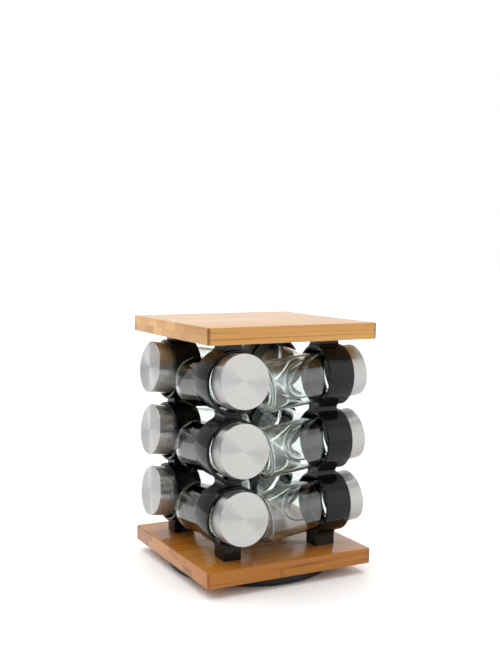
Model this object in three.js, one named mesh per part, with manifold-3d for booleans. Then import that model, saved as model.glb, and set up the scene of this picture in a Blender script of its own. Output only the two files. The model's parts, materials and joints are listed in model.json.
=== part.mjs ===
// Spice carousel: two square bamboo boards joined by four moulded ring holders, twelve glass jars with
// steel-clad screw lids, and a low ball-bearing turntable under the lower board.
//
// Units are millimetres. +Z is up, the origin is the middle of the face it stands on, and -Y is the front.
// Each holder column carries three jars. The four columns are one column turned by quarter turns about Z,
// each set off to one side of its board edge, so the jars pass beside each other in a pinwheel.

import * as THREE from "three";
import { mergeVertices } from "three/addons/utils/BufferGeometryUtils.js";
import Module from "manifold-3d";

const wasm = await Module();
wasm.setup();

// ---------------------------------------------------------------- driving dimensions

const SIDES = ["front", "right", "back", "left"]; // each a quarter turn after the one before
const LEVELS = ["bottom", "middle", "top"];

const BOARD = { width: 170, thickness: 15, edge: 0.8, corner: 1.6 };
const BASE_BOARD_Z = 10; // underside of the lower board
const COLUMN_FOOT_Z = BASE_BOARD_Z + BOARD.thickness;
const COLUMN_HEIGHT = 199;
const TOP_BOARD_Z = COLUMN_FOOT_Z + COLUMN_HEIGHT;

const COLUMN_OFFSET = 49.3; // sideways from the middle of the board edge to the jar axis
const RING = { outer: 28.8, bore: 26.05, back: 41, front: 67.3, pitch: 61.2, first: 41.2 };
const WEB = { width: 17, front: 62, footFillet: 6 };
const SCREW_RADIAL = (RING.back + WEB.front) / 2; // how far out the holder screws stand

const JAR_TILT = THREE.MathUtils.degToRad(7); // the lid end stands higher than the base end
const JAR_PIVOT = { radial: 54, drop: 0.45 }; // the point of the jar axis that lies in the ring
// Distances along the jar's axis from its pivot, towards the lid
const JAR = { base: -69.5, radius: 23.5, edge: 2, wall: 3, floor: 6, shoulder: 8.5, neck: 11, mouth: 27.2 };
const NECK = { outer: 21.2, bore: 18.6 };
const LID = { skirt: 12.2, face: 30.2, radius: 24.46, edge: 0.5, steel: 0.6, plastic: 1.9, gap: 0.15 };

const TURNTABLE = { radius: 79, edge: 1, underside: 0.8, floor: 3.4, rim: 2.5, rimTop: 9.2 };
const PLATE = { radius: 74, underside: 7.8 };
const RACE = { radius: 60, width: 4.4, depth: 0.3 };
const CAGE = { inner: 55.5, outer: 64.5, bottom: 5, top: 6.2, pocket: 2.75, balls: 12 };
const FOOT_RING = { inner: 64, outer: 70, thickness: 1.6 };
const PIVOT = { shank: 5, flange: 8, flangeThickness: 0.9 };
const PLATE_SCREWS = { circle: 40, count: 4 };
const ACCESS_HOLE = 5; // radius of the hole through which the plate screws are driven

const FIT_GAP = 0.3; // clearance round pins, screws, flanges and seated rings
const LAYER_GAP = 0.1; // between faces that lie on each other in the turntable
const PAST = 1; // how far a cutting tool runs past the face it opens
const SCREW_RECESS = { foot: 0.2, top: 0.35 }; // how deep the countersunk heads lie

// Number of sides of the round bodies, and of steps in the holder's arcs
const BORE_SIDES = 12;
const POCKET_SIDES = 8;
const ROUND_SIDES = 20; // jars, lids and the pivot pin
const RING_SIDES = 24;
const DISC_SIDES = 40;
const ARC_STEPS = { foot: 3, ring: 8, waist: 4 };

// ---------------------------------------------------------------- materials

const MATERIALS = {
  bambooTop: { color: 0xdcb487, roughness: 0.45, metalness: 0 },
  bambooBase: { color: 0xb87c3c, roughness: 0.4, metalness: 0 },
  blackPlastic: { color: 0x15161a, roughness: 0.25, metalness: 0 },
  mattBlackPlastic: { color: 0x1c1c1e, roughness: 0.6, metalness: 0 },
  brushedSteel: { color: 0xc9c9c7, roughness: 0.35, metalness: 1 },
  screwSteel: { color: 0x9d9d9f, roughness: 0.4, metalness: 1 },
  whitePlastic: { color: 0xe4e4e0, roughness: 0.5, metalness: 0 },
  rubber: { color: 0x202022, roughness: 0.9, metalness: 0 },
  glass: { color: 0xdfeee6, roughness: 0.05, metalness: 0, transparent: true, opacity: 0.35 },
};

// ---------------------------------------------------------------- solids

/** A manifold solid of a closed three.js geometry. */
function solidOf(geometry) {
  const bare = geometry.clone();
  bare.deleteAttribute("normal");
  bare.deleteAttribute("uv");
  const merged = mergeVertices(bare, 1e-4);
  const mesh = new wasm.Mesh({
    numProp: 3,
    vertProperties: new Float32Array(merged.attributes.position.array),
    triVerts: new Uint32Array(merged.index.array),
  });
  return new wasm.Manifold(mesh);
}

/** The three.js geometry of a manifold solid. */
function geometryOf(solid) {
  const mesh = solid.getMesh();
  const geometry = new THREE.BufferGeometry();
  geometry.setAttribute("position", new THREE.BufferAttribute(new Float32Array(mesh.vertProperties), 3));
  geometry.setIndex(new THREE.BufferAttribute(new Uint32Array(mesh.triVerts), 1));
  geometry.computeVertexNormals();
  return geometry;
}

/** A body turned about Z from [radius, height] points that run up its outside. */
function turned(profile, sides) {
  const points = profile.map(([radius, height]) => new THREE.Vector2(radius, height));
  return new THREE.LatheGeometry(points, sides).rotateX(Math.PI / 2);
}

/** A ring about Z with a rectangular section. */
function ringAboutZ(inner, outer, bottom, top, sides) {
  return turned([[inner, bottom], [outer, bottom], [outer, top], [inner, top], [inner, bottom]], sides);
}

/** A cylinder about Z. */
function cylinderAboutZ(radius, bottom, top, sides) {
  return turned([[0, bottom], [radius, bottom], [radius, top], [0, top]], sides);
}

/** A cylinder that runs outward (-Y) from one radial distance to another, its axis at a height. */
function cylinderOutward(radius, back, front, height, sides) {
  const bar = new THREE.CylinderGeometry(radius, radius, front - back, sides);
  return bar.translate(0, -(back + front) / 2, height);
}

/** The radius at which a polygon's flat sides just clear a circle. */
const clearOf = (radius, sides) => radius / Math.cos(Math.PI / sides);

/** Places on a circle, as [x, y], starting from an angle. */
function placesOnCircle(radius, count, start = 0) {
  return Array.from({ length: count }, (_, i) => {
    const angle = start + (i * 2 * Math.PI) / count;
    return [radius * Math.cos(angle), radius * Math.sin(angle)];
  });
}

const cut = (solid, tools) => tools.reduce((left, tool) => left.subtract(solidOf(tool)), solid);

// ---------------------------------------------------------------- screws

// Countersunk screws stand upright with the head's face at the bottom; head and shank are radii.
const FOOT_SCREW = { head: 3.7, shank: 1.9, cone: 2, length: 23 };
const TOP_SCREW = { head: 3.4, shank: 1.8, cone: 1.8, length: 19 };
const PAN_SCREW = { head: 3.1, shank: 1.6, headHeight: 1.4, length: 12.6 };
const TIP_SHARE = 0.4; // the radius of a screw's blunt tip as a share of its shank's

const footScrewZ = BASE_BOARD_Z + SCREW_RECESS.foot;
const ringZ = (level) => COLUMN_FOOT_Z + RING.first + level * RING.pitch;
const topScrewZ = ringZ(LEVELS.length - 1) + RING.bore + SCREW_RECESS.top;
const panScrewZ = PLATE.underside - LAYER_GAP - PAN_SCREW.headHeight;

function countersunkScrew({ head, shank, cone, length }) {
  const tip = shank * TIP_SHARE;
  const profile = [[0, 0], [head, 0], [shank, cone], [shank, length - shank], [tip, length], [0, length]];
  return turned(profile, BORE_SIDES);
}

/** The hole that a countersunk screw sits in, open below its head and one gap larger all over. */
function countersunkHole({ head, shank, cone, length }, openBelow) {
  const bore = clearOf(shank + FIT_GAP, BORE_SIDES);
  const mouth = clearOf(head + FIT_GAP, BORE_SIDES);
  const end = length + 2 * FIT_GAP;
  const profile = [[0, -openBelow], [mouth, -openBelow], [mouth, 0], [bore, cone], [bore, end], [0, end]];
  return turned(profile, BORE_SIDES);
}

function panScrew({ head, shank, headHeight, length }) {
  const tip = shank * TIP_SHARE;
  const profile = [
    [0, 0],
    [head, 0],
    [head, headHeight],
    [shank, headHeight],
    [shank, length - shank],
    [tip, length],
    [0, length],
  ];
  return turned(profile, BORE_SIDES);
}

// ---------------------------------------------------------------- boards

/** A square board with eased edges, its underside at z = 0. */
function plainBoard() {
  const half = BOARD.width / 2 - BOARD.edge;
  const round = BOARD.corner;
  const outline = new THREE.Shape();
  outline.absarc(half - round, half - round, round, 0, Math.PI / 2);
  outline.absarc(-half + round, half - round, round, Math.PI / 2, Math.PI);
  outline.absarc(-half + round, -half + round, round, Math.PI, 1.5 * Math.PI);
  outline.absarc(half - round, -half + round, round, 1.5 * Math.PI, 2 * Math.PI);
  const board = new THREE.ExtrudeGeometry(outline, {
    depth: BOARD.thickness - 2 * BOARD.edge,
    bevelThickness: BOARD.edge,
    bevelSize: BOARD.edge,
    bevelSegments: 1,
    curveSegments: 2,
  });
  return board.translate(0, 0, BOARD.edge);
}

/** Where the holder screws stand, as [x, y], one for each side. */
const holderScrewPlaces = SIDES.map((_, turn) => {
  const place = new THREE.Vector2(-COLUMN_OFFSET, -SCREW_RADIAL);
  return place.rotateAround(new THREE.Vector2(), (turn * Math.PI) / 2).toArray();
});
const panScrewPlaces = placesOnCircle(PLATE_SCREWS.circle, PLATE_SCREWS.count, Math.PI / 4);

function baseBoard() {
  const board = solidOf(plainBoard().translate(0, 0, BASE_BOARD_Z));
  const holderHoles = holderScrewPlaces.map(([x, y]) =>
    countersunkHole(FOOT_SCREW, PAST).translate(x, y, footScrewZ),
  );
  const pilot = clearOf(PAN_SCREW.shank + FIT_GAP, BORE_SIDES);
  const pilotTop = panScrewZ + PAN_SCREW.length + 2 * FIT_GAP;
  const pilots = panScrewPlaces.map(([x, y]) =>
    cylinderAboutZ(pilot, BASE_BOARD_Z - PAST, pilotTop, BORE_SIDES).translate(x, y, 0),
  );
  return geometryOf(cut(board, [...holderHoles, ...pilots]));
}

function topBoard() {
  const board = solidOf(plainBoard().translate(0, 0, TOP_BOARD_Z));
  const holes = holderScrewPlaces.map(([x, y]) =>
    countersunkHole(TOP_SCREW, PAST).translate(x, y, topScrewZ),
  );
  return geometryOf(cut(board, holes));
}

// ---------------------------------------------------------------- ring holder

/** Points on an arc, both ends included; angles in radians. */
function arcPoints(centreX, centreZ, radius, from, to, steps) {
  return Array.from({ length: steps + 1 }, (_, i) => {
    const angle = from + ((to - from) * i) / steps;
    return new THREE.Vector2(centreX + radius * Math.cos(angle), centreZ + radius * Math.sin(angle));
  });
}

/** The right half of the holder's outline, from its foot to its top, with filleted waists. */
function holderSide() {
  const half = WEB.width / 2;
  const foot = WEB.footFillet;
  // A fillet touches the straight side of the web and the ring, or two rings at a waist.
  const footDrop = Math.sqrt((RING.outer + foot) ** 2 - (half + foot) ** 2);
  const footAngle = Math.atan2(footDrop, half + foot);
  const halfPitch = RING.pitch / 2;
  const waist = (half ** 2 + halfPitch ** 2 - RING.outer ** 2) / (2 * (RING.outer - half));
  const waistAngle = Math.atan2(halfPitch, half + waist);

  const points = [new THREE.Vector2(half, COLUMN_FOOT_Z)];
  LEVELS.forEach((_, level) => {
    const z = ringZ(level);
    const first = level === 0;
    const last = level === LEVELS.length - 1;
    if (first) {
      const bend = arcPoints(half + foot, z - footDrop, foot, Math.PI, Math.PI - footAngle, ARC_STEPS.foot);
      points.push(...bend);
    }
    const from = first ? -footAngle : -waistAngle;
    const to = last ? footAngle : waistAngle;
    points.push(...arcPoints(0, z, RING.outer, from, to, ARC_STEPS.ring).slice(1, -1));
    const above = z + (last ? footDrop : halfPitch);
    const fillet = last ? foot : waist;
    const [start, end] = last ? [footAngle, 0] : [waistAngle, -waistAngle];
    const steps = last ? ARC_STEPS.foot : ARC_STEPS.waist;
    points.push(...arcPoints(half + fillet, above, fillet, Math.PI + start, Math.PI + end, steps));
  });
  points.push(new THREE.Vector2(half, TOP_BOARD_Z));
  return points;
}

/** One holder on the front side, its jar axes in the plane x = 0. */
function holder() {
  const side = holderSide();
  const mirrored = side.map((point) => new THREE.Vector2(-point.x, point.y)).reverse();
  const web = new THREE.ExtrudeGeometry(new THREE.Shape([...side, ...mirrored]), {
    depth: WEB.front - RING.back,
    bevelEnabled: false,
  });
  // The outline's height becomes Z and its depth runs outward
  web.rotateX(Math.PI / 2).translate(0, -RING.back, 0);

  let solid = solidOf(web);
  const bore = clearOf(RING.bore, RING_SIDES);
  LEVELS.forEach((_, level) => {
    const lip = cylinderOutward(RING.outer, WEB.front, RING.front, ringZ(level), RING_SIDES);
    solid = solid.add(solidOf(lip));
  });
  const bores = LEVELS.map((_, level) =>
    cylinderOutward(bore, RING.back - PAST, RING.front + PAST, ringZ(level), RING_SIDES),
  );
  const footHole = countersunkHole(FOOT_SCREW, 0).translate(0, -SCREW_RADIAL, footScrewZ);
  const topHole = countersunkHole(TOP_SCREW, 2 * PAST).translate(0, -SCREW_RADIAL, topScrewZ);
  return geometryOf(cut(solid, [...bores, footHole, topHole]));
}

// ---------------------------------------------------------------- jar and lid

// Both are turned about Z with the jar's pivot at z = 0 and the lid end at the top.


function jar() {
  const { base, radius, wall, floor, shoulder, neck, mouth } = JAR;
  const profile = [
    [0, base],
    [radius - JAR.edge, base],
    [radius, base + JAR.edge],
    [radius, shoulder],
    [NECK.outer, neck],
    [NECK.outer, mouth],
    [NECK.bore, mouth],
    [NECK.bore, neck],
    [radius - wall, shoulder - wall],
    [radius - wall, base + floor],
    [0, base + floor],
  ];
  return turned(profile, ROUND_SIDES);
}

/** The profile of a cap that is open at its lower end, its side and top equally thick. */
function capProfile(radius, skirt, face, wall) {
  const inner = radius - wall;
  return [[0, face - wall], [inner, face - wall], [inner, skirt], [radius, skirt], [radius, face], [0, face]];
}

function lidShell() {
  const profile = capProfile(LID.radius, LID.skirt, LID.face, LID.steel);
  profile.splice(-2, 1, [LID.radius, LID.face - LID.edge], [LID.radius - LID.edge, LID.face]); // eased corner
  return turned(profile, ROUND_SIDES);
}

function lidLiner() {
  const inset = LID.steel + LID.gap;
  const profile = capProfile(LID.radius - inset, LID.skirt + inset, LID.face - inset, LID.plastic);
  return turned(profile, ROUND_SIDES);
}

// ---------------------------------------------------------------- turntable

const raceInner = RACE.radius - RACE.width / 2;
const raceOuter = RACE.radius + RACE.width / 2;
const flangeSeat = PIVOT.flangeThickness + FIT_GAP; // depth of the recess for each head of the pivot pin

function turntableBase() {
  const { radius, edge, underside, floor, rim, rimTop } = TURNTABLE;
  const inner = radius - rim;
  const dish = turned(
    [
      [0, underside],
      [radius - edge, underside],
      [radius, underside + edge],
      [radius, rimTop],
      [inner, rimTop],
      [inner, floor],
      [raceOuter, floor],
      [raceOuter, floor - RACE.depth],
      [raceInner, floor - RACE.depth],
      [raceInner, floor],
      [0, floor],
    ],
    DISC_SIDES,
  );
  const below = underside - PAST;
  const groove = ringAboutZ(
    FOOT_RING.inner - FIT_GAP,
    FOOT_RING.outer + FIT_GAP,
    below,
    FOOT_RING.thickness + LAYER_GAP,
    DISC_SIDES,
  );
  const [x, y] = panScrewPlaces[0];
  return geometryOf(
    cut(solidOf(dish), [
      groove,
      cylinderAboutZ(PIVOT.flange + FIT_GAP, below, underside + flangeSeat, ROUND_SIDES),
      cylinderAboutZ(PIVOT.shank + FIT_GAP, below, floor + PAST, ROUND_SIDES),
      cylinderAboutZ(ACCESS_HOLE, below, floor + PAST, BORE_SIDES).translate(x, y, 0),
    ]),
  );
}

function turntablePlate() {
  const { radius, underside } = PLATE;
  const top = BASE_BOARD_Z;
  const disc = turned(
    [
      [0, underside],
      [raceInner, underside],
      [raceInner, underside + RACE.depth],
      [raceOuter, underside + RACE.depth],
      [raceOuter, underside],
      [radius, underside],
      [radius, top],
      [0, top],
    ],
    DISC_SIDES,
  );
  const screwHole = clearOf(PAN_SCREW.shank + FIT_GAP, BORE_SIDES);
  const screwHoles = panScrewPlaces.map(([x, y]) =>
    cylinderAboutZ(screwHole, underside - PAST, top + PAST, BORE_SIDES).translate(x, y, 0),
  );
  return geometryOf(
    cut(solidOf(disc), [
      cylinderAboutZ(PIVOT.flange + FIT_GAP, top - flangeSeat - LAYER_GAP, top + PAST, ROUND_SIDES),
      cylinderAboutZ(PIVOT.shank + FIT_GAP, underside - PAST, top + PAST, ROUND_SIDES),
      ...screwHoles,
    ]),
  );
}

function ballCage() {
  const ring = ringAboutZ(CAGE.inner, CAGE.outer, CAGE.bottom, CAGE.top, DISC_SIDES);
  const pockets = placesOnCircle(RACE.radius, CAGE.balls).map(([x, y]) =>
    cylinderAboutZ(CAGE.pocket, CAGE.bottom - PAST, CAGE.top + PAST, POCKET_SIDES).translate(x, y, 0),
  );
  return geometryOf(cut(solidOf(ring), pockets));
}

/** The headed pin that holds the two discs of the turntable together. */
function pivotPin() {
  const bottom = TURNTABLE.underside + LAYER_GAP;
  const top = BASE_BOARD_Z - LAYER_GAP;
  const { shank, flange, flangeThickness } = PIVOT;
  return turned(
    [
      [0, bottom],
      [flange, bottom],
      [flange, bottom + flangeThickness],
      [shank, bottom + flangeThickness],
      [shank, top - flangeThickness],
      [flange, top - flangeThickness],
      [flange, top],
      [0, top],
    ],
    ROUND_SIDES,
  );
}

const footRing = () =>
  ringAboutZ(FOOT_RING.inner, FOOT_RING.outer, 0, FOOT_RING.thickness, DISC_SIDES);

// ---------------------------------------------------------------- assembly

const carousel = new THREE.Group();

function named(name, geometry, material, parent = carousel) {
  const mesh = new THREE.Mesh(geometry, new THREE.MeshStandardMaterial(MATERIALS[material]));
  mesh.name = name;
  parent.add(mesh);
  return mesh;
}

named("anti_slip_ring", footRing(), "rubber");
named("turntable_base", turntableBase(), "mattBlackPlastic");
named("turntable_plate", turntablePlate(), "mattBlackPlastic");
named("ball_cage", ballCage(), "whitePlastic");
named("pivot_pin", pivotPin(), "screwSteel");
named("base_board", baseBoard(), "bambooBase");
named("top_board", topBoard(), "bambooTop");

panScrewPlaces.forEach(([x, y], i) => {
  named(`turntable_screw_${i + 1}`, panScrew(PAN_SCREW), "screwSteel").position.set(x, y, panScrewZ);
});

SIDES.forEach((side, turn) => {
  const column = new THREE.Group();
  column.rotation.z = (turn * Math.PI) / 2;
  carousel.add(column);

  const upright = new THREE.Group();
  upright.position.x = -COLUMN_OFFSET;
  column.add(upright);
  named(`holder_${side}`, holder(), "blackPlastic", upright);
  const footScrew = named(`foot_screw_${side}`, countersunkScrew(FOOT_SCREW), "screwSteel", upright);
  footScrew.position.set(0, -SCREW_RADIAL, footScrewZ);
  const topScrew = named(`top_screw_${side}`, countersunkScrew(TOP_SCREW), "screwSteel", upright);
  topScrew.position.set(0, -SCREW_RADIAL, topScrewZ);

  LEVELS.forEach((level, index) => {
    const place = new THREE.Group();
    place.position.set(0, -JAR_PIVOT.radial, ringZ(index) - JAR_PIVOT.drop);
    place.rotation.x = Math.PI / 2 - JAR_TILT; // the axis points outward, its lid end raised
    upright.add(place);
    named(`jar_${side}_${level}`, jar(), "glass", place);
    named(`lid_liner_${side}_${level}`, lidLiner(), "whitePlastic", place);
    named(`lid_shell_${side}_${level}`, lidShell(), "brushedSteel", place);
  });
});

export default carousel;
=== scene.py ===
"""The finished look of the spice carousel: boards, ring holders, glass jars, steel lids and turntable.

Every piece is built in metres in the part's own frame: +Z up, -Y the front, the origin at the bottom.
"""
import json
import math
from math import atan2, cos, pi, radians, sin, sqrt

import bmesh
import bpy
from mathutils import Matrix, Vector


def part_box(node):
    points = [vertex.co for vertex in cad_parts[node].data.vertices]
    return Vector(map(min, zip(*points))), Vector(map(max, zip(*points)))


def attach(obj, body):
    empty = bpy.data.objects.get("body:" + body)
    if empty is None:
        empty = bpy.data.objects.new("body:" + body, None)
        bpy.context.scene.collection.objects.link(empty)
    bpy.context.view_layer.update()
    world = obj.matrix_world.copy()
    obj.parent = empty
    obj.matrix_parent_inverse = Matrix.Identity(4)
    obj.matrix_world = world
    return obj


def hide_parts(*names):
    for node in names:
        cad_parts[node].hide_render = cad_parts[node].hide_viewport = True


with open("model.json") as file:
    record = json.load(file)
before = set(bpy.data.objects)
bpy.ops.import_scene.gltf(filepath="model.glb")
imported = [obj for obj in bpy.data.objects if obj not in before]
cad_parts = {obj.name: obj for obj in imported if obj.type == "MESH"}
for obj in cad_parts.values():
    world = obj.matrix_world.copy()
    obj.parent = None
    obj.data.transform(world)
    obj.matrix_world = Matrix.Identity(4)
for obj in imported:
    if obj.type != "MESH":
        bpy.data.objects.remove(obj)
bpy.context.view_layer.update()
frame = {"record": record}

MM = 0.001
SIDES = ("front", "right", "back", "left")  # each a quarter turn after the one before
LEVELS = ("bottom", "middle", "top")
UP = Vector((0, 0, 1))

# ---------------------------------------------------------------- driving dimensions, in millimetres

BOARD_THICKNESS = 15.0
BOARD_EDGE = 0.9
BOARD_CORNER = 1.6
STRIP_WIDTH = 21.0  # the bamboo strips, which run along X
PLIES = 2

RING = {"outer": 28.8, "bore": 26.05, "first": 41.2, "pitch": 61.2}
WEB = {"half": 8.5, "depth": 21.0, "foot_fillet": 6.0}

# Along a jar's axis, from the middle of its lid's liner
LID_MIDDLE = 21.2  # from the jar's pivot in the ring
JAR = {
    "base": -69.5,
    "radius": 23.5,
    "wall": 1.9,
    "floor": 2.0,
    "shoulder": 5.0,
    "neck": 10.5,
    "mouth": 27.2,
}
NECK = {"outer": 20.3, "bore": 18.4, "bead": 21.2}
THREAD = {"start": 15.5, "pitch": 4.6, "turns": 1.7, "height": 0.75, "width": 0.95}
STIPPLE = {"count": 64, "inner": 17.4, "outer": 22.2, "height": 0.6, "rise": 2.8, "depth": 0.5}
LID = {
    "skirt": 12.2,
    "face": 30.2,
    "radius": 24.46,
    "steel": 0.55,
    "plastic": 1.9,
    "gap": 0.15,
    "edge": 0.75,
}

SEAL = {"inner": 17.6, "outer": 20.4, "depth": 0.25}  # the ring in the liner that presses on the jar's mouth

TURNTABLE = {"floor": 2.6, "rim": 2.5}
PIVOT = {"bore": 5.3, "recess": 8.3, "recess_depth": 1.2}  # in the dish and in the disc above it
PIN = {"shaft": 5.0, "head": 8.0, "head_height": 0.9, "dimple": 2.6, "dimple_depth": 0.25}
GRIP = {"width": 6.0, "ribs": 4, "pitch": 1.5, "groove": 0.35, "play": 0.3}
DISC_SCREWS = {"circle": 40.0, "count": 4, "hole": 1.9, "access": 5.0}
BALL = {"radius": 2.45, "circle": 60.0, "count": 12}
RACE = {"half": 2.2, "bed": 1.2, "below": 0.35, "above": 0.32}  # the ball's tracks in the dish and the disc
CAGE = {"inner": 55.5, "outer": 64.5, "pocket": 2.75}

# Each kind of screw: its head's outline from the outside in, as (radius, height)
FOOT_SCREW = {"head": 3.7, "shank": 1.9, "outline": [(3.5, 0), (3.7, 0.25), (1.9, 2.0)], "pitch": 1.4}
TOP_SCREW = {"head": 3.4, "shank": 1.8, "outline": [(3.2, 0), (3.4, 0.25), (1.8, 1.8)], "pitch": 1.3}
PAN_SCREW = {
    "head": 3.1,
    "shank": 1.6,
    "outline": [(2.2, 0.0), (2.8, 0.25), (3.1, 0.8), (3.1, 1.4), (1.6, 1.4)],
    "pitch": 1.2,
}

FINE = 256  # segments round the jars
SMOOTH = 192  # segments round lids, rings and discs

# The camera that sees the object as the photographer did
CAMERA = {
    "place": (-0.4309, -0.8157, 0.3056),
    "yaw": 27.84,
    "pitch": 10.06,
    "roll": 0.469,
    "lens": 53.53,
    "shift_y": 0.1431,
}

# Soft round patches of the white room: direction (yaw, lift), the cosines of the patch's edge and core,
# and the share of the room's light that it takes away; a negative share adds light
PATCHES = (
    ((CAMERA["yaw"] + 180, 10), 0.78, 0.94, 0.85),  # where the photographer stands
    ((-27, 22), 0.86, 0.96, 0.45),  # the wall behind the left side
    ((150, 14), 0.8, 0.95, -0.7),  # a softbox at the front right
    ((-5, 3), 0.993, 0.997, -6.0),  # a small lamp behind
)
SKY = {"direction": (-40, 72), "strength": 1.9, "spread": 75}

scene = bpy.context.scene


# ---------------------------------------------------------------- outlines and meshes


def arc(centre, radius, start, end, steps):
    """Points on an arc, both ends included; angles in radians."""
    cx, cy = centre
    turns = [start + (end - start) * i / steps for i in range(steps + 1)]
    return [(cx + radius * cos(t), cy + radius * sin(t)) for t in turns]


def rounded(corners, closed=False, steps=4):
    """The outline through corners (x, y, radius), each corner rounded by an arc of its radius."""
    outline = []
    count = len(corners)
    for k, (x, y, radius) in enumerate(corners):
        if radius == 0 or (not closed and k in (0, count - 1)):
            outline.append((x, y))
            continue
        here = Vector((x, y))
        before = (Vector(corners[k - 1][:2]) - here).normalized()
        after = (Vector(corners[(k + 1) % count][:2]) - here).normalized()
        half = before.angle(after) / 2
        centre = here + (before + after).normalized() * radius / sin(half)
        first = here + before * radius / math.tan(half) - centre
        sweep = first.angle_signed(here + after * radius / math.tan(half) - centre)
        start = atan2(first.y, first.x)
        outline += arc(centre, radius, start, start - sweep, steps)
    return outline


def lathe(outline, segments, closed=False, shape=None):
    """A bmesh turned about Z from (radius, height) points; shape moves each vertex, given its angle too."""
    bm = bmesh.new()
    rows = []
    for radius, height in outline:
        if radius < 1e-6:
            rows.append([bm.verts.new((0, 0, height * MM))])
            continue
        row = []
        for i in range(segments):
            angle = 2 * pi * i / segments
            r, z = shape(radius, height, angle) if shape else (radius, height)
            row.append(bm.verts.new((r * cos(angle) * MM, r * sin(angle) * MM, z * MM)))
        rows.append(row)
    above = rows[1:] + rows[:1] if closed else rows[1:]
    for low, high in zip(rows, above):
        for i in range(segments):
            j = (i + 1) % segments
            corners = (low[i % len(low)], low[j % len(low)], high[j % len(high)], high[i % len(high)])
            corners = list(dict.fromkeys(corners))
            if len(corners) > 2:
                bm.faces.new(corners)
    return bm


def finish_mesh(name, bm, sharp=32):
    """The bmesh as a mesh with smooth faces and sharp edges over an angle."""
    mesh = bpy.data.meshes.new(name)
    bm.to_mesh(mesh)
    bm.free()
    mesh.shade_smooth()
    mesh.set_sharp_from_angle(angle=radians(sharp))
    return mesh


def place(name, mesh, matrix=Matrix.Identity(4)):
    """A new object that shows a mesh."""
    obj = bpy.data.objects.new(name, mesh)
    obj.matrix_world = matrix
    scene.collection.objects.link(obj)
    return obj


def carved(mesh, tools, operation, sharp=32):
    """The mesh joined with or cut by the tool meshes."""
    body = place("carving", mesh)
    helpers = [place("carving_tool", tool) for tool in tools]
    for helper in helpers:
        step = body.modifiers.new("carve", "BOOLEAN")
        step.operation = operation
        step.solver = "EXACT"
        step.object = helper
    bpy.context.view_layer.update()
    result = bpy.data.meshes.new_from_object(body.evaluated_get(bpy.context.evaluated_depsgraph_get()))
    for obj in [body, *helpers]:
        bpy.data.objects.remove(obj)
    for old in [mesh, *tools]:
        if old.users == 0:
            bpy.data.meshes.remove(old)
    result.shade_smooth()
    result.set_sharp_from_angle(angle=radians(sharp))
    return result


def moved(bm, matrix):
    bmesh.ops.transform(bm, matrix=matrix, verts=bm.verts)
    return bm


def cylinder_tool(radius, bottom, top, x=0, y=0, sides=32):
    """A closed cylinder about Z for cutting, in millimetres."""
    bm = lathe([(0, bottom), (radius, bottom), (radius, top), (0, top)], sides)
    return finish_mesh("tool", moved(bm, Matrix.Translation((x * MM, y * MM, 0))))


def hand_over(piece, body, slot, *nodes):
    """The piece rides on its body and stands for its CAD nodes; its slot is not used."""
    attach(piece, body)
    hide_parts(*nodes)


def corners_mm(node):
    low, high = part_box(node)
    return Vector(low) / MM, Vector(high) / MM


# ---------------------------------------------------------------- materials


class Nodes:
    """A node tree with short ways to add and link nodes."""

    def __init__(self, tree):
        self.tree = tree

    def feed(self, socket, value):
        if isinstance(value, bpy.types.NodeSocket):
            self.tree.links.new(value, socket)
        elif value is not None:
            socket.default_value = value

    def add(self, kind, inputs=(), **settings):
        """A node's first output, with its inputs given by name or number."""
        node = self.tree.nodes.new("ShaderNode" + kind)
        for setting, value in settings.items():
            setattr(node, setting, value)
        for socket, value in dict(inputs).items():
            self.feed(node.inputs[socket], value)
        return node.outputs[0]

    def math(self, operation, a, b=None, c=None, clamp=False):
        return self.add("Math", {0: a, 1: b, 2: c}, operation=operation, use_clamp=clamp)

    def mix(self, factor, a, b, blend="MIX"):
        node = self.tree.nodes.new("ShaderNodeMix")
        node.data_type = "RGBA"
        node.blend_type = blend
        self.feed(node.inputs[0], factor)
        self.feed(node.inputs[6], a)
        self.feed(node.inputs[7], b)
        return node.outputs[2]

    def ranged(self, value, low, high, to_low, to_high, smooth=False):
        kind = "SMOOTHSTEP" if smooth else "LINEAR"
        inputs = {0: value, 1: low, 2: high, 3: to_low, 4: to_high}
        return self.add("MapRange", inputs, interpolation_type=kind, clamp=True)

    def coordinates(self, kind="Object"):
        node = self.tree.nodes.new("ShaderNodeTexCoord")
        return node.outputs[kind]

    def split(self, vector):
        node = self.tree.nodes.new("ShaderNodeSeparateXYZ")
        self.feed(node.inputs[0], vector)
        return node.outputs[0], node.outputs[1], node.outputs[2]

    def join(self, x, y, z):
        return self.add("CombineXYZ", {0: x, 1: y, 2: z})

    def noise(self, vector, scale, detail=2.0, roughness=0.5):
        inputs = {"Vector": vector, "Scale": scale, "Detail": detail, "Roughness": roughness}
        return self.add("TexNoise", inputs)

    def fibres(self, along, y, z, across_y, across_z, detail, roughness):
        """Noise in fibres that run along X."""
        where = self.join(along, self.math("MULTIPLY", y, across_y), self.math("MULTIPLY", z, across_z))
        return self.noise(where, 1.0, detail, roughness)

    def bump(self, height, distance, strength=1.0, normal=None):
        node = self.tree.nodes.new("ShaderNodeBump")
        self.feed(node.inputs["Height"], height)
        node.inputs["Distance"].default_value = distance
        node.inputs["Strength"].default_value = strength
        self.feed(node.inputs["Normal"], normal)
        return node.outputs[0]


class Finish(Nodes):
    """One node material."""

    def __init__(self, name, **shader):
        self.material = bpy.data.materials.new(name)
        self.material.use_nodes = True
        super().__init__(self.material.node_tree)
        self.shader = self.tree.nodes["Principled BSDF"]
        self.output = self.tree.nodes["Material Output"]
        for socket, value in shader.items():
            self.feed(self.shader.inputs[socket.replace("_", " ")], value)


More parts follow.
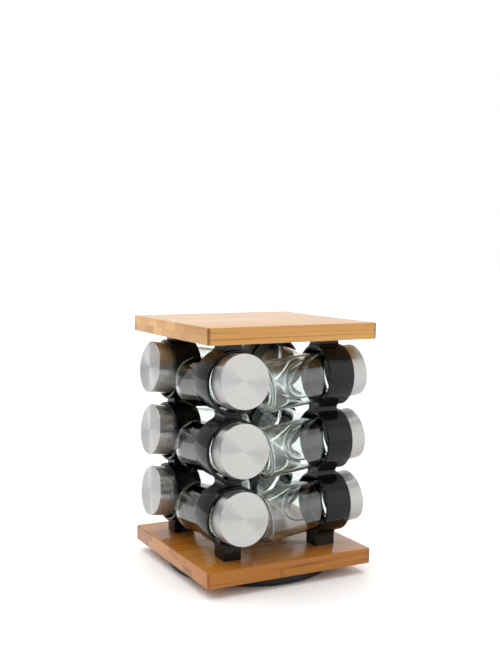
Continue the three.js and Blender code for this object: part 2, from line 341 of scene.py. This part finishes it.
def bamboo(name, pale, deep, dark, corner_tone, seed, coat):
    """Laminated bamboo: strips along X in plies, fibres, growth rings, and end grain on the X faces."""
    f = Finish(name, Coat_Weight=coat, Coat_Roughness=0.13, Coat_IOR=1.3, IOR=1.2)
    x, y, z = f.split(f.coordinates())
    board = BOARD_THICKNESS * MM
    ply = f.math("FLOOR", f.math("MULTIPLY_ADD", z, PLIES / board, PLIES / 2 + seed))
    shifted = f.math("MULTIPLY_ADD", ply, 0.43, f.math("DIVIDE", y, STRIP_WIDTH * MM))
    strip = f.math("FLOOR", shifted)
    identity = f.join(strip, ply, seed)
    tone = f.add("TexWhiteNoise", {"Vector": identity}, noise_dimensions="3D")
    offset = f.math("MULTIPLY", tone, 7.0)

    # Long fibres and broader streaks, each strip with its own
    coarse = f.fibres(f.math("MULTIPLY_ADD", x, 9.0, offset), y, z, 520.0, 520.0, 3.0, 0.6)
    fine = f.fibres(f.math("MULTIPLY_ADD", x, 30.0, offset), y, z, 2300.0, 2300.0, 2.0, 0.5)
    streak = f.fibres(f.math("MULTIPLY_ADD", x, 4.0, offset), y, z, 160.0, 230.0, 2.0, 0.5)

    # A growth ring crosses each strip once in a length of about 0.23 m
    ring_place = f.math("FRACT", f.math("MULTIPLY_ADD", x, 4.3, f.math("MULTIPLY", tone, 5.3)))
    ring_distance = f.math("ABSOLUTE", f.math("SUBTRACT", ring_place, 0.5))
    ring = f.ranged(ring_distance, 0.0, 0.011, 1.0, 0.0, smooth=True)

    # Thin glue lines between strips
    strip_edge = f.math("ABSOLUTE", f.math("SUBTRACT", f.math("FRACT", shifted), 0.5))
    glue = f.ranged(strip_edge, 0.492, 0.5, 0.0, 1.0)

    mixed = f.math("ADD", f.math("MULTIPLY", tone, 0.5), f.math("MULTIPLY", coarse, 0.65))
    mixed = f.math("MULTIPLY_ADD", fine, 0.35, f.math("SUBTRACT", mixed, 0.32), clamp=True)
    long_grain = f.mix(mixed, pale, deep)
    long_grain = f.mix(f.ranged(streak, 0.56, 0.75, 0.0, 0.75, smooth=True), long_grain, dark)
    long_grain = f.mix(f.math("MULTIPLY", ring, 0.35), long_grain, dark)
    long_grain = f.mix(f.math("MULTIPLY", glue, 0.3), long_grain, dark)

    # End grain: close dark dots of the cut fibres on a flatter tone for each block
    dots = f.add("TexVoronoi", {"Vector": f.join(0.0, y, z), "Scale": 950.0}, feature="F1")
    dot = f.ranged(dots, 0.16, 0.34, 1.0, 0.0, smooth=True)
    block = f.mix(f.math("MULTIPLY_ADD", tone, 1.5, -0.25, clamp=True), pale, deep)
    block = f.mix(f.math("MULTIPLY", dot, 0.22), block, dark)
    block = f.mix(f.math("MULTIPLY", glue, 0.35), block, dark)
    nx, ny, _ = f.split(f.coordinates("Normal"))
    is_end = f.ranged(f.math("ABSOLUTE", nx), 0.6, 0.8, 0.0, 1.0)
    colour = f.mix(is_end, long_grain, block)

    # The rounded upright corners are coloured darker, in their own tone
    corner = f.math("ABSOLUTE", f.math("MULTIPLY", nx, ny))
    is_corner = f.ranged(corner, 0.08, 0.3, 0.0, 0.8)
    f.feed(f.shader.inputs["Base Color"], f.mix(is_corner, colour, corner_tone))

    f.feed(f.shader.inputs["Roughness"], f.ranged(fine, 0.2, 0.8, 0.3, 0.46))
    fibre_relief = f.math("MULTIPLY_ADD", fine, 0.5, f.math("MULTIPLY", coarse, 0.5))
    relief = f.math("SUBTRACT", fibre_relief, glue)
    f.feed(f.shader.inputs["Normal"], f.bump(relief, 0.00006, 0.5))
    return f.material


def brushed_steel(name, colour, roughness, anisotropy, ring_scale):
    """Steel brushed in circles round the piece's own Z axis."""
    f = Finish(name, Base_Color=(*colour, 1), Metallic=1.0)
    f.shader.inputs["Anisotropic"].default_value = anisotropy
    f.shader.inputs["Anisotropic Rotation"].default_value = 0.25
    x, y, z = f.split(f.coordinates())
    out = f.math("SQRT", f.math("ADD", f.math("MULTIPLY", x, x), f.math("MULTIPLY", y, y)))
    angle = f.math("ARCTAN2", y, x)
    # The scratches are long round the circle and very short across it
    around = f.math("MULTIPLY", f.math("COSINE", angle), 1.2)
    close = f.join(f.math("MULTIPLY", out, ring_scale), f.math("MULTIPLY", z, ring_scale), around)
    grain = f.noise(close, 1.0, 3.0, 0.7)
    spread = ring_scale / 9
    wide = f.join(f.math("MULTIPLY", out, spread), f.math("MULTIPLY", z, spread), 0.0)
    broad = f.noise(wide, 1.0, 1.0, 0.5)
    worn = f.math("MULTIPLY_ADD", grain, 0.6, f.math("MULTIPLY", broad, 0.4))
    f.feed(f.shader.inputs["Roughness"], f.ranged(worn, 0.25, 0.75, roughness - 0.03, roughness + 0.04))
    f.feed(f.shader.inputs["Normal"], f.bump(grain, 0.00001, 0.14))
    tangent = f.add("Tangent", direction_type="RADIAL", axis="Z")
    f.feed(f.shader.inputs["Tangent"], tangent)
    return f.material


def moulded(name, colour, roughness, grain_scale, grain_depth, specular=0.5):
    """Moulded plastic with a faint skin texture and flow variation in its gloss."""
    f = Finish(name, Base_Color=(*colour, 1), Specular_IOR_Level=specular)
    where = f.coordinates()
    skin = f.noise(where, grain_scale, 2.0, 0.6)
    flow = f.noise(where, 55.0, 3.0, 0.6)
    f.feed(f.shader.inputs["Roughness"], f.ranged(flow, 0.3, 0.7, roughness - 0.03, roughness + 0.05))
    f.feed(f.shader.inputs["Normal"], f.bump(skin, grain_depth, 0.5))
    return f.material


def clear_glass(name):
    """Pressed glass: slight waviness inside, faint green in its depth."""
    f = Finish(name, Base_Color=(0.985, 1.0, 0.993, 1), Roughness=0.0, IOR=1.5)
    f.shader.inputs["Transmission Weight"].default_value = 1.0
    f.shader.inputs["Coat Weight"].default_value = 0.35
    f.shader.inputs["Coat Roughness"].default_value = 0.0
    where = f.coordinates()
    waves = f.noise(where, 70.0, 2.0, 0.45)
    f.feed(f.shader.inputs["Normal"], f.bump(waves, 0.0005, 0.25))
    depth = f.tree.nodes.new("ShaderNodeVolumeAbsorption")
    depth.inputs["Color"].default_value = (0.55, 0.86, 0.74, 1)
    depth.inputs["Density"].default_value = 42.0
    f.tree.links.new(depth.outputs[0], f.output.inputs["Volume"])
    return f.material


def rubber(name):
    f = Finish(name, Base_Color=(0.02, 0.02, 0.02, 1))
    where = f.coordinates()
    grain = f.noise(where, 900.0, 3.0, 0.7)
    f.feed(f.shader.inputs["Roughness"], f.ranged(grain, 0.3, 0.7, 0.75, 0.95))
    f.feed(f.shader.inputs["Normal"], f.bump(grain, 0.0001, 0.6))
    return f.material


def studio_floor(name):
    f = Finish(name, Base_Color=(0.93, 0.93, 0.93, 1))
    grain = f.noise(f.coordinates(), 40.0, 2.0, 0.5)
    f.feed(f.shader.inputs["Roughness"], f.ranged(grain, 0.3, 0.7, 0.55, 0.65))
    return f.material


HONEY = {
    "pale": (0.64, 0.345, 0.105, 1),
    "deep": (0.44, 0.21, 0.055, 1),
    "dark": (0.30, 0.115, 0.018, 1),
    "corner_tone": (0.17, 0.055, 0.002, 1),
}
AMBER = {
    "pale": (0.45, 0.175, 0.022, 1),
    "deep": (0.29, 0.09, 0.008, 1),
    "dark": (0.15, 0.04, 0.005, 1),
    "corner_tone": (0.26, 0.08, 0.01, 1),
}

FINISHES = {
    "bamboo_top": bamboo("bamboo_honey", **HONEY, seed=3.0, coat=0.6),
    "bamboo_base": bamboo("bamboo_amber", **AMBER, seed=8.0, coat=1.0),
    "holder_plastic": moulded("black_gloss_plastic", (0.004, 0.004, 0.0045), 0.09, 420.0, 0.00003, 0.25),
    "glass": clear_glass("clear_glass"),
    "liner_plastic": moulded("natural_white_plastic", (0.72, 0.72, 0.69), 0.42, 700.0, 0.00004),
    "lid_steel": brushed_steel("spun_steel", (0.445, 0.438, 0.427), 0.28, 1.0, 5200.0),
    "screw_steel": brushed_steel("zinc_steel", (0.55, 0.55, 0.56), 0.32, 0.3, 3000.0),
    "turntable_plastic": moulded("black_matt_plastic", (0.006, 0.0065, 0.007), 0.38, 800.0, 0.0001, 0.3),
    "cage_plastic": moulded("white_nylon", (0.68, 0.68, 0.66), 0.45, 700.0, 0.00005),
    "rubber": rubber("black_rubber"),
}


def show(name, mesh, slot, matrix=Matrix.Identity(4)):
    """A new object in its slot's finish."""
    if not mesh.materials:
        mesh.materials.append(FINISHES[slot])
    return place(name, mesh, matrix)


# ---------------------------------------------------------------- boards


def board_mesh(name, size):
    """A board centred on its origin, its upright corners rounder than its other edges."""
    bm = bmesh.new()
    bmesh.ops.create_cube(bm, size=1.0, matrix=Matrix.Diagonal((*size, 1)))
    upright = [e for e in bm.edges if abs((e.verts[0].co - e.verts[1].co).z) > 1e-6]
    bmesh.ops.bevel(bm, geom=upright, offset=BOARD_CORNER * MM, segments=6, profile=0.5, affect="EDGES")
    half = size[2] / 2
    rims = [e for e in bm.edges if all(abs(abs(v.co.z) - half) < 1e-6 for v in e.verts)]
    bmesh.ops.bevel(bm, geom=rims, offset=BOARD_EDGE * MM, segments=5, profile=0.5, affect="EDGES")
    return finish_mesh(name, bm, sharp=50)


def make_boards():
    for node, slot in (("top_board", "bamboo_top"), ("base_board", "bamboo_base")):
        low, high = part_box(node)
        low, high = Vector(low), Vector(high)
        mesh = board_mesh(node + "_bamboo", high - low)
        if node == "base_board":
            cutters = [screw_seat_tool(side, low, high) for side in SIDES]
            mesh = carved(mesh, cutters, "DIFFERENCE", sharp=50)
        piece = show(node + "_bamboo", mesh, slot, Matrix.Translation((low + high) / 2))
        hand_over(piece, "carousel", slot, node)


def screw_seat_tool(side, low, high):
    """The countersunk seat of a foot screw, in the base board's own frame."""
    screw_low, screw_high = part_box(f"foot_screw_{side}")
    middle = (Vector(screw_low) + Vector(screw_high)) / 2 - (low + high) / 2
    head = (screw_high[0] - screw_low[0]) / 2 / MM + 0.3
    bottom = (low[2] - high[2]) / 2 / MM
    seat = [(0, bottom - 1), (head, bottom - 1), (head, bottom + 0.2)]
    seat += [(2.2, bottom + 2.4), (2.2, bottom + 14), (0, bottom + 14)]
    bm = lathe(seat, 40)
    return finish_mesh("tool", moved(bm, Matrix.Translation((middle.x, middle.y, 0))))


# ---------------------------------------------------------------- ring holders

SINK = 0.06  # how far the fillets dip into the rings, so that the surfaces cross cleanly
OUTWARD = Matrix.Rotation(radians(90), 4, "X")  # turns a body about Z so that its Z runs outward, along -Y


def ring_heights():
    foot = corners_mm("holder_front")[0].z
    return [foot + RING["first"] + level * RING["pitch"] for level in range(len(LEVELS))]


def ring_mesh(back, front, height):
    """One ring of a holder, its edges rounded."""
    outline = rounded(
        [
            (RING["bore"], back, 0.5),
            (RING["outer"], back, 0.5),
            (RING["outer"], front, 0.9),
            (RING["bore"], front, 0.8),
        ],
        closed=True,
    )
    bm = lathe(outline, SMOOTH, closed=True)
    bm = moved(bm, OUTWARD)
    return finish_mesh("ring", moved(bm, Matrix.Translation((0, 0, height * MM))))


def bridge_mesh(right_side, ring_below, ring_above, back, front):
    """A piece of the web: its right side from bottom to top, closed inside the rings that it joins."""
    wall = (RING["outer"] + RING["bore"]) / 2
    outline = list(right_side)
    if ring_above is not None:
        x, z = outline[-1]
        angle = atan2(z - ring_above, x)
        outline += arc((0, ring_above), wall, angle, -pi - angle, 12)
    outline += [(-x, z) for x, z in reversed(right_side)]
    if ring_below is not None:
        x, z = right_side[0]
        angle = atan2(z - ring_below, x)
        outline += arc((0, ring_below), wall, pi - angle, angle, 12)
    bm = bmesh.new()
    face = bm.faces.new([bm.verts.new((x * MM, -front * MM, z * MM)) for x, z in outline])
    rim = list(face.edges)
    made = bmesh.ops.extrude_face_region(bm, geom=[face])["geom"]
    far = [v for v in made if isinstance(v, bmesh.types.BMVert)]
    bmesh.ops.translate(bm, vec=(0, (front - back) * MM, 0), verts=far)
    bmesh.ops.bevel(bm, geom=rim, offset=0.6 * MM, segments=3, profile=0.5, affect="EDGES")
    bmesh.ops.recalc_face_normals(bm, faces=bm.faces)
    return finish_mesh("bridge", bm)


def holder_mesh():
    """One holder, front side, its jar axes in the plane x = 0."""
    low, high = corners_mm("holder_front")
    back, front = -high.y, -low.y
    web_front = back + WEB["depth"]
    half, fillet = WEB["half"], WEB["foot_fillet"]
    touch = RING["outer"] - SINK
    heights = ring_heights()

    # The fillets between the straight web and the lowest and highest rings
    drop = sqrt((touch + fillet) ** 2 - (half + fillet) ** 2)
    bend = atan2(drop, half + fillet)
    foot = [(half, low.z)] + arc((half + fillet, heights[0] - drop), fillet, pi, pi - bend, 10)
    head = arc((half + fillet, heights[-1] + drop), fillet, pi + bend, pi, 10) + [(half, high.z)]

    # The waist between two rings is one arc that touches both and the web
    reach = RING["pitch"] / 2
    waist = (half**2 + reach**2 - touch**2) / (2 * (touch - half))
    turn = atan2(reach, half + waist)

    bridges = [bridge_mesh(foot, None, heights[0], back + 0.1, web_front)]
    for below, above in zip(heights, heights[1:]):
        side = arc((half + waist, below + reach), waist, pi + turn, pi - turn, 16)
        bridges.append(bridge_mesh(side, below, above, back + 0.1, web_front))
    bridges.append(bridge_mesh(head, heights[-1], None, back + 0.1, web_front))

    rings = [ring_mesh(back, front, height) for height in heights]
    mesh = carved(rings[0], rings[1:] + bridges, "UNION")

    # The seat of the top screw, in the bore of the top ring
    screw_low, screw_high = corners_mm("top_screw_front")
    centre = (screw_low + screw_high) / 2
    head_radius = (screw_high.x - screw_low.x) / 2 + 0.3
    seat = [(0, screw_low.z - 2), (head_radius, screw_low.z - 2), (head_radius, screw_low.z)]
    seat += [(2.1, screw_low.z + 2), (2.1, high.z + 1), (0, high.z + 1)]
    tool = finish_mesh("tool", moved(lathe(seat, 40), Matrix.Translation((0, centre.y * MM, 0))))
    return carved(mesh, [tool], "DIFFERENCE")


def make_holders():
    mesh = holder_mesh()
    low, high = corners_mm("holder_front")
    offset = Matrix.Translation(((low.x + high.x) / 2 * MM, 0, 0))
    for turn, side in enumerate(SIDES):
        matrix = Matrix.Rotation(turn * pi / 2, 4, "Z") @ offset
        piece = show(f"holder_{side}_moulding", mesh, "holder_plastic", matrix)
        hand_over(piece, "carousel", "holder_plastic", f"holder_{side}")


# ---------------------------------------------------------------- jars and lids


def jar_frame(side, level):
    """The jar's own frame: Z along its axis towards the lid, the origin at its pivot in the ring."""
    low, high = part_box(f"lid_liner_{side}_{level}")
    axis = Vector(AXES[f"jar_{side}_{level}"]).normalized()
    across = axis.cross(UP).normalized()
    turn = Matrix((across, axis.cross(across), axis)).transposed().to_4x4()
    turn.translation = (Vector(low) + Vector(high)) / 2 - axis * LID_MIDDLE * MM
    return turn


AXES = {j["child"]: j["axis"] for j in frame["record"]["behaviour"]["joints"] if j["type"] == "slide"}


def thread_rise(height, angle):
    """How far the neck's screw thread stands out, as a share of its full height."""
    rise = 0.0
    for turn in (-1, 0, 1, 2):
        along = angle / (2 * pi) + turn
        if 0 <= along <= THREAD["turns"]:
            centre = THREAD["start"] + THREAD["pitch"] * along
            fade = min(1.0, along / 0.08, (THREAD["turns"] - along) / 0.08)
            rise = max(rise, fade * math.exp(-(((height - centre) / THREAD["width"]) ** 4)))
    return rise


def shape_jar(radius, height, angle):
    """Adds the screw thread round the neck and the beads round the bearing edge and heel."""
    if height > JAR["neck"] + 2 and radius > NECK["bore"] + 1:
        radius += THREAD["height"] * thread_rise(height, angle)
    elif height < JAR["base"] + 0.9 and STIPPLE["inner"] < radius < STIPPLE["outer"]:
        across = sin(pi * (radius - STIPPLE["inner"]) / (STIPPLE["outer"] - STIPPLE["inner"]))
        height += STIPPLE["height"] * across * (0.5 + 0.5 * cos(STIPPLE["count"] * angle))
    elif height < JAR["base"] + STIPPLE["rise"] and radius > STIPPLE["outer"]:
        upward = sin(pi * (height - JAR["base"] + 0.3) / (STIPPLE["rise"] + 0.3))
        radius -= STIPPLE["depth"] * upward * (0.5 + 0.5 * cos(STIPPLE["count"] * angle))
    return radius, height


def jar_mesh():
    base, body, wall = JAR["base"], JAR["radius"], JAR["wall"]
    shoulder, neck, mouth = JAR["shoulder"], JAR["neck"], JAR["mouth"]
    inner = body - wall
    floor = base + JAR["floor"]
    rim_in, rim_out = STIPPLE["inner"], STIPPLE["outer"]
    crown = [(0, base + 0.8), (8, base + 0.77), (14, base + 0.7), (16.4, base + 0.5), (17.0, base + 0.2)]
    rim = [(rim_in + (rim_out - rim_in) * i / 8, base) for i in range(9)]
    side = rounded(
        [
            (rim_out, base, 0),
            (body, base, 1.1),
            (body, base + 1.6, 0),
            (body, base + 2.2, 0),
            (body, base + STIPPLE["rise"], 0),
            (body, base + STIPPLE["rise"] + 0.5, 0),
            (body, base + STIPPLE["rise"] + 1.2, 0),
            (body, shoulder + 2.2, 3.0),
            (NECK["bead"], neck + 0.6, 0.8),
            (NECK["bead"], neck + 2.2, 0.7),
            (NECK["outer"], neck + 2.8, 0.4),
        ]
    )
    outside = crown + rim[:-1] + side
    rows = 34
    start, end = neck + 3.2, mouth - 1.2
    outside += [(NECK["outer"], start + (end - start) * i / rows) for i in range(rows + 1)]
    inside = rounded(
        [
            (NECK["outer"], end, 0),
            (NECK["outer"], mouth, 0.9),
            (NECK["bore"], mouth, 0.9),
            (NECK["bore"], neck + 0.5, 2.5),
            (inner, shoulder - 0.5, 3.0),
            (inner, floor, 1.0),
            (0, floor - 0.2, 0),
        ],
        steps=6,
    )[1:]
    return finish_mesh("jar_glass", lathe(outside + inside, FINE, shape=shape_jar), sharp=60)


def shell_mesh():
    """The spun steel shell: a face with a crisp rounded edge and a hemmed skirt."""
    radius, face, skirt, steel, edge = (LID[k] for k in ("radius", "face", "skirt", "steel", "edge"))
    inner = radius - steel
    outline = rounded(
        [
            (0, face - steel, 0),
            (inner, face - steel, 0.4),
            (inner, skirt, 0.2),
            (radius, skirt, 0.25),
            (radius, face, edge),
            (0, face, 0),
        ],
        steps=6,
    )
    # Rows across the face, so that its shading follows its circles
    outline[-1:-1] = [(r, face) for r in (20, 15, 10, 5, 1)]
    return finish_mesh("lid_steel_shell", lathe(outline, SMOOTH), sharp=60)


def shape_liner(radius, height, angle):
    """Adds the inner thread that meets the jar's."""
    inside = LID["radius"] - LID["steel"] - LID["gap"] - LID["plastic"]
    if radius < inside + 0.1 and height < LID["face"] - 4:
        radius -= 0.4 * thread_rise(height + THREAD["pitch"] / 2, angle)
    return radius, height


def liner_mesh():
    """The plastic insert: a cap with a sealing ring in its top and a thread in its side."""
    inset = LID["steel"] + LID["gap"]
    radius, face, skirt = LID["radius"] - inset, LID["face"] - inset, LID["skirt"] + inset
    wall = LID["plastic"]
    inner, top = radius - wall, face - wall
    seal_in, seal_out, seal_low = SEAL["inner"], SEAL["outer"], top - SEAL["depth"]
    seal = [(0, top, 0), (seal_in, top, 0.2), (seal_in, seal_low, 0.1), (seal_out, seal_low, 0.1)]
    seal += [(seal_out, top, 0.2), (inner, top, 0.5), (inner, top - 2, 0)]
    outline = rounded(seal, steps=3)
    rows = 26
    outline += [(inner, top - 2 - (top - 2 - skirt - 0.6) * i / rows) for i in range(1, rows + 1)]
    cap = [(inner, skirt + 0.6, 0), (inner, skirt, 0.4), (radius, skirt, 0.4)]
    cap += [(radius, face, 0.5), (0, face, 0)]
    outline += rounded(cap)[1:]
    return finish_mesh("lid_liner", lathe(outline, FINE, shape=shape_liner), sharp=50)


def make_jars():
    glass, steel, plastic = jar_mesh(), shell_mesh(), liner_mesh()
    for side in SIDES:
        for level in LEVELS:
            where = jar_frame(side, level)
            jar = show(f"jar_{side}_{level}_glass", glass, "glass", where)
            hand_over(jar, f"jar_{side}_{level}", "glass", f"jar_{side}_{level}")
            shell = show(f"lid_{side}_{level}_steel", steel, "lid_steel", where)
            hand_over(shell, f"lid_{side}_{level}", "lid_steel", f"lid_shell_{side}_{level}")
            liner = show(f"lid_{side}_{level}_liner", plastic, "liner_plastic", where)
            hand_over(liner, f"lid_{side}_{level}", "liner_plastic", f"lid_liner_{side}_{level}")


# ---------------------------------------------------------------- turntable


def places_round(radius, count, start=0.0):
    turns = [start + 2 * pi * i / count for i in range(count)]
    return [(radius * cos(turn), radius * sin(turn)) for turn in turns]


def screw_places():
    return places_round(DISC_SCREWS["circle"], DISC_SCREWS["count"], pi / 4)


def turned(name, outline):
    """A closed ring turned about Z."""
    return finish_mesh(name, lathe(rounded(outline, closed=True), SMOOTH, closed=True))


def race(radius, level, depth):
    """A shallow ball track, from its outer lip to its inner one."""
    half, bed = RACE["half"], RACE["bed"]
    return [
        (radius + half, level, 0.2),
        (radius + bed, level + depth, 0.3),
        (radius - bed, level + depth, 0.3),
        (radius - half, level, 0.2),
    ]


def make_dish():
    low, high = corners_mm("turntable_base")
    ring = corners_mm("anti_slip_ring")[1]
    floor = low.z + TURNTABLE["floor"]
    inner = high.x - TURNTABLE["rim"]
    bore, recess = PIVOT["bore"], PIVOT["recess"]
    ledge = low.z + PIVOT["recess_depth"]
    groove_out = ring.x + GRIP["play"]
    groove_in = ring.x - GRIP["width"] - GRIP["play"]
    groove_top = ring.z + 0.1
    outline = [(bore, floor, 0.2), (bore, ledge, 0), (recess, ledge, 0), (recess, low.z, 0.3)]
    outline += [(groove_in, low.z, 0.2), (groove_in, groove_top, 0)]
    outline += [(groove_out, groove_top, 0), (groove_out, low.z, 0.2)]
    outline += [(high.x, low.z, 1.1), (high.x, high.z, 0.7), (inner, high.z, 0.6), (inner, floor, 0.8)]
    outline += race(BALL["circle"], floor, -RACE["below"])
    mesh = turned("turntable_dish", outline)
    x, y = screw_places()[0]
    access = cylinder_tool(DISC_SCREWS["access"], low.z - 1, floor + 1, x, y, sides=48)
    mesh = carved(mesh, [access], "DIFFERENCE")
    piece = show("turntable_dish", mesh, "turntable_plastic")
    hand_over(piece, "stand", "turntable_plastic", "turntable_base")


def make_grip_ring():
    outer, top = (corners_mm("anti_slip_ring")[1][k] for k in (0, 2))
    inner, groove = outer - GRIP["width"], GRIP["groove"]
    outline = [(inner, top, 0.3), (inner, 0.15, 0.3)]
    for i in range(GRIP["ribs"]):
        start = inner + GRIP["pitch"] * i
        outline += [(start + 0.3, 0, 0.1), (start + 1.1, 0, 0.1), (start + 1.3, groove, 0.1)]
    outline[-1] = (outer, 0.15, 0.3)
    outline.append((outer, top, 0.3))
    ring = lathe(rounded(outline, closed=True, steps=2), SMOOTH, closed=True)
    piece = show("anti_slip_grip_ring", finish_mesh("grip_ring", ring), "rubber")
    hand_over(piece, "stand", "rubber", "anti_slip_ring")


def make_pin():
    low, high = (corner.z for corner in corners_mm("pivot_pin"))
    shaft, head, dimple = PIN["shaft"], PIN["head"], PIN["dimple"]
    neck_low, neck_high = low + PIN["head_height"], high - PIN["head_height"]
    seat = low + PIN["dimple_depth"]
    outline = [(0, seat, 0), (dimple, seat, 0.2), (dimple + 0.4, low, 0.2), (head, low, 0.45)]
    outline += [(head, neck_low, 0.2), (shaft, neck_low, 0.2), (shaft, neck_high, 0.2)]
    outline += [(head, neck_high, 0.2), (head, high, 0.45), (0, high, 0)]
    mesh = finish_mesh("pivot_pin_steel", lathe(rounded(outline), 64))
    hand_over(show("pivot_pin_steel", mesh, "screw_steel"), "stand", "screw_steel", "pivot_pin")


def make_disc():
    low, high = corners_mm("turntable_plate")
    bore, recess = PIVOT["bore"], PIVOT["recess"]
    ledge = high.z - PIVOT["recess_depth"]
    track = race(BALL["circle"], low.z, RACE["above"])
    outline = [(bore, ledge, 0), (bore, low.z, 0.3), *track[::-1]]
    outline += [(high.x, low.z, 0.4), (high.x, high.z, 0.4), (recess, high.z, 0.2), (recess, ledge, 0)]
    mesh = turned("turntable_disc", outline)
    holes = [cylinder_tool(DISC_SCREWS["hole"], low.z - 1, high.z + 1, x, y) for x, y in screw_places()]
    mesh = carved(mesh, holes, "DIFFERENCE")
    piece = show("turntable_disc", mesh, "turntable_plastic")
    hand_over(piece, "carousel", "turntable_plastic", "turntable_plate")


def make_ball_cage():
    low, high = (corner.z for corner in corners_mm("ball_cage"))
    inner, outer = CAGE["inner"], CAGE["outer"]
    outline = [(inner, low, 0.3), (outer, low, 0.3), (outer, high, 0.3), (inner, high, 0.3)]
    mesh = turned("ball_cage_ring", outline)
    places = places_round(BALL["circle"], BALL["count"])
    pockets = [cylinder_tool(CAGE["pocket"], low - 1, high + 1, x, y) for x, y in places]
    mesh = carved(mesh, pockets, "DIFFERENCE")
    hand_over(show("ball_cage_ring", mesh, "cage_plastic"), "ball_cage", "cage_plastic", "ball_cage")

    bm = bmesh.new()
    for x, y in places:
        centre = Matrix.Translation((x * MM, y * MM, (low + high) / 2 * MM))
        bmesh.ops.create_icosphere(bm, subdivisions=3, radius=BALL["radius"] * MM, matrix=centre)
    balls = show("bearing_balls", finish_mesh("bearing_balls", bm, sharp=80), "screw_steel")
    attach(balls, "ball_cage")


def make_turntable():
    make_dish()
    make_grip_ring()
    make_pin()
    make_disc()
    make_ball_cage()


# ---------------------------------------------------------------- screws


def screw_mesh(kind, node):
    """A screw as long as its node, on its head: a cross recess below, a threaded shank above."""
    head, shank, head_outline, pitch = (kind[k] for k in ("head", "shank", "outline", "pitch"))
    low, high = corners_mm(node)
    length = high.z - low.z
    start = head_outline[-1][1]

    def shape(radius, height, angle):
        if shank * 0.5 < radius < shank and height > start:
            wave = 0.5 + 0.5 * cos(2 * pi * (height / pitch - angle / (2 * pi)))
            radius = radius * (1 - 0.2 * (1 - wave))
        return radius, height

    rows = int((length - start - shank) / pitch * 8)
    run = length - start - shank - 0.3
    thread = [(shank * 0.999, start + 0.3 + run * i / rows) for i in range(rows + 1)]
    outline = [(0, 0), *head_outline, *thread, (shank * 0.35, length - 0.1), (0, length)]
    mesh = finish_mesh("screw", lathe(outline, 32, shape=shape))
    tools = []
    for turn in (0, pi / 2):
        bm = bmesh.new()
        size = Matrix.Diagonal((head * 1.25 * MM, head * 0.24 * MM, head * 1.2 * MM, 1))
        bmesh.ops.create_cube(bm, size=1.0, matrix=Matrix.Rotation(turn, 4, "Z") @ size)
        for v in bm.verts:
            if v.co.z > 0:
                v.co.x *= 0.35
                v.co.y *= 0.35
        tools.append(finish_mesh("tool", bm))
    return carved(mesh, tools, "DIFFERENCE", sharp=40)


def make_screws():
    foot = screw_mesh(FOOT_SCREW, "foot_screw_front")
    top = screw_mesh(TOP_SCREW, "top_screw_front")
    pan = screw_mesh(PAN_SCREW, "turntable_screw_1")
    names = [(f"foot_screw_{side}", foot) for side in SIDES]
    names += [(f"top_screw_{side}", top) for side in SIDES]
    names += [(f"turntable_screw_{i}", pan) for i in range(1, DISC_SCREWS["count"] + 1)]
    for node, mesh in names:
        low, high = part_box(node)
        centre = (Vector(low) + Vector(high)) / 2
        piece = show(node + "_steel", mesh, "screw_steel", Matrix.Translation((centre.x, centre.y, low[2])))
        hand_over(piece, "carousel", "screw_steel", node)


# ---------------------------------------------------------------- camera, floor and light


def make_camera():
    yaw, pitch, roll = (radians(CAMERA[k]) for k in ("yaw", "pitch", "roll"))
    ahead = Vector((sin(yaw) * cos(pitch), cos(yaw) * cos(pitch), -sin(pitch)))
    level = Vector((cos(yaw), -sin(yaw), 0))
    upward = level.cross(ahead)
    right = cos(roll) * level + sin(roll) * upward
    up = cos(roll) * upward - sin(roll) * level
    data = bpy.data.cameras.new("camera")
    data.sensor_width = 36
    data.lens = CAMERA["lens"]
    data.shift_y = CAMERA["shift_y"]
    camera = bpy.data.objects.new("camera", data)
    turn = Matrix((right, up, -ahead)).transposed().to_4x4()
    camera.matrix_world = Matrix.Translation(CAMERA["place"]) @ turn
    scene.collection.objects.link(camera)
    scene.camera = camera


def make_floor():
    bm = bmesh.new()
    bmesh.ops.create_grid(bm, x_segments=4, y_segments=4, size=8.0)
    mesh = finish_mesh("studio_floor", bm)
    mesh.materials.append(studio_floor("studio_floor"))
    place("studio_floor", mesh)


def toward(yaw, lift):
    """A unit direction: yaw from +Y towards +X and lift above level, in degrees."""
    yaw, lift = radians(yaw), radians(lift)
    return Vector((sin(yaw) * cos(lift), cos(yaw) * cos(lift), sin(lift)))


def make_studio():
    """A white room with soft patches, seen as plain white by the camera, and a broad sky light."""
    world = bpy.data.worlds.new("studio")
    scene.world = world
    world.use_nodes = True
    n = Nodes(world.node_tree)
    background = n.tree.nodes["Background"]
    seen = n.coordinates("Generated")
    room = 1.0
    for direction, edge, core, taken in PATCHES:
        near = n.tree.nodes.new("ShaderNodeVectorMath")
        near.operation = "DOT_PRODUCT"
        n.feed(near.inputs[0], seen)
        near.inputs[1].default_value = toward(*direction)
        share = n.ranged(near.outputs["Value"], edge, core, 1.0, 1.0 - taken, smooth=True)
        room = n.math("MULTIPLY", room, share)
    ray = n.tree.nodes.new("ShaderNodeLightPath")
    strength = n.math("MAXIMUM", room, ray.outputs["Is Camera Ray"])
    n.feed(background.inputs["Strength"], strength)
    background.inputs["Color"].default_value = (1, 1, 1, 1)

    sky = bpy.data.lights.new("broad_sky", "SUN")
    sky.energy = SKY["strength"]
    sky.angle = radians(SKY["spread"])
    light = bpy.data.objects.new("broad_sky", sky)
    light.rotation_euler = toward(*SKY["direction"]).to_track_quat("Z", "Y").to_euler()
    scene.collection.objects.link(light)
    scene.view_settings.view_transform = "Standard"


make_camera()
make_boards()
make_holders()
make_jars()
make_turntable()
make_screws()
make_floor()
make_studio()
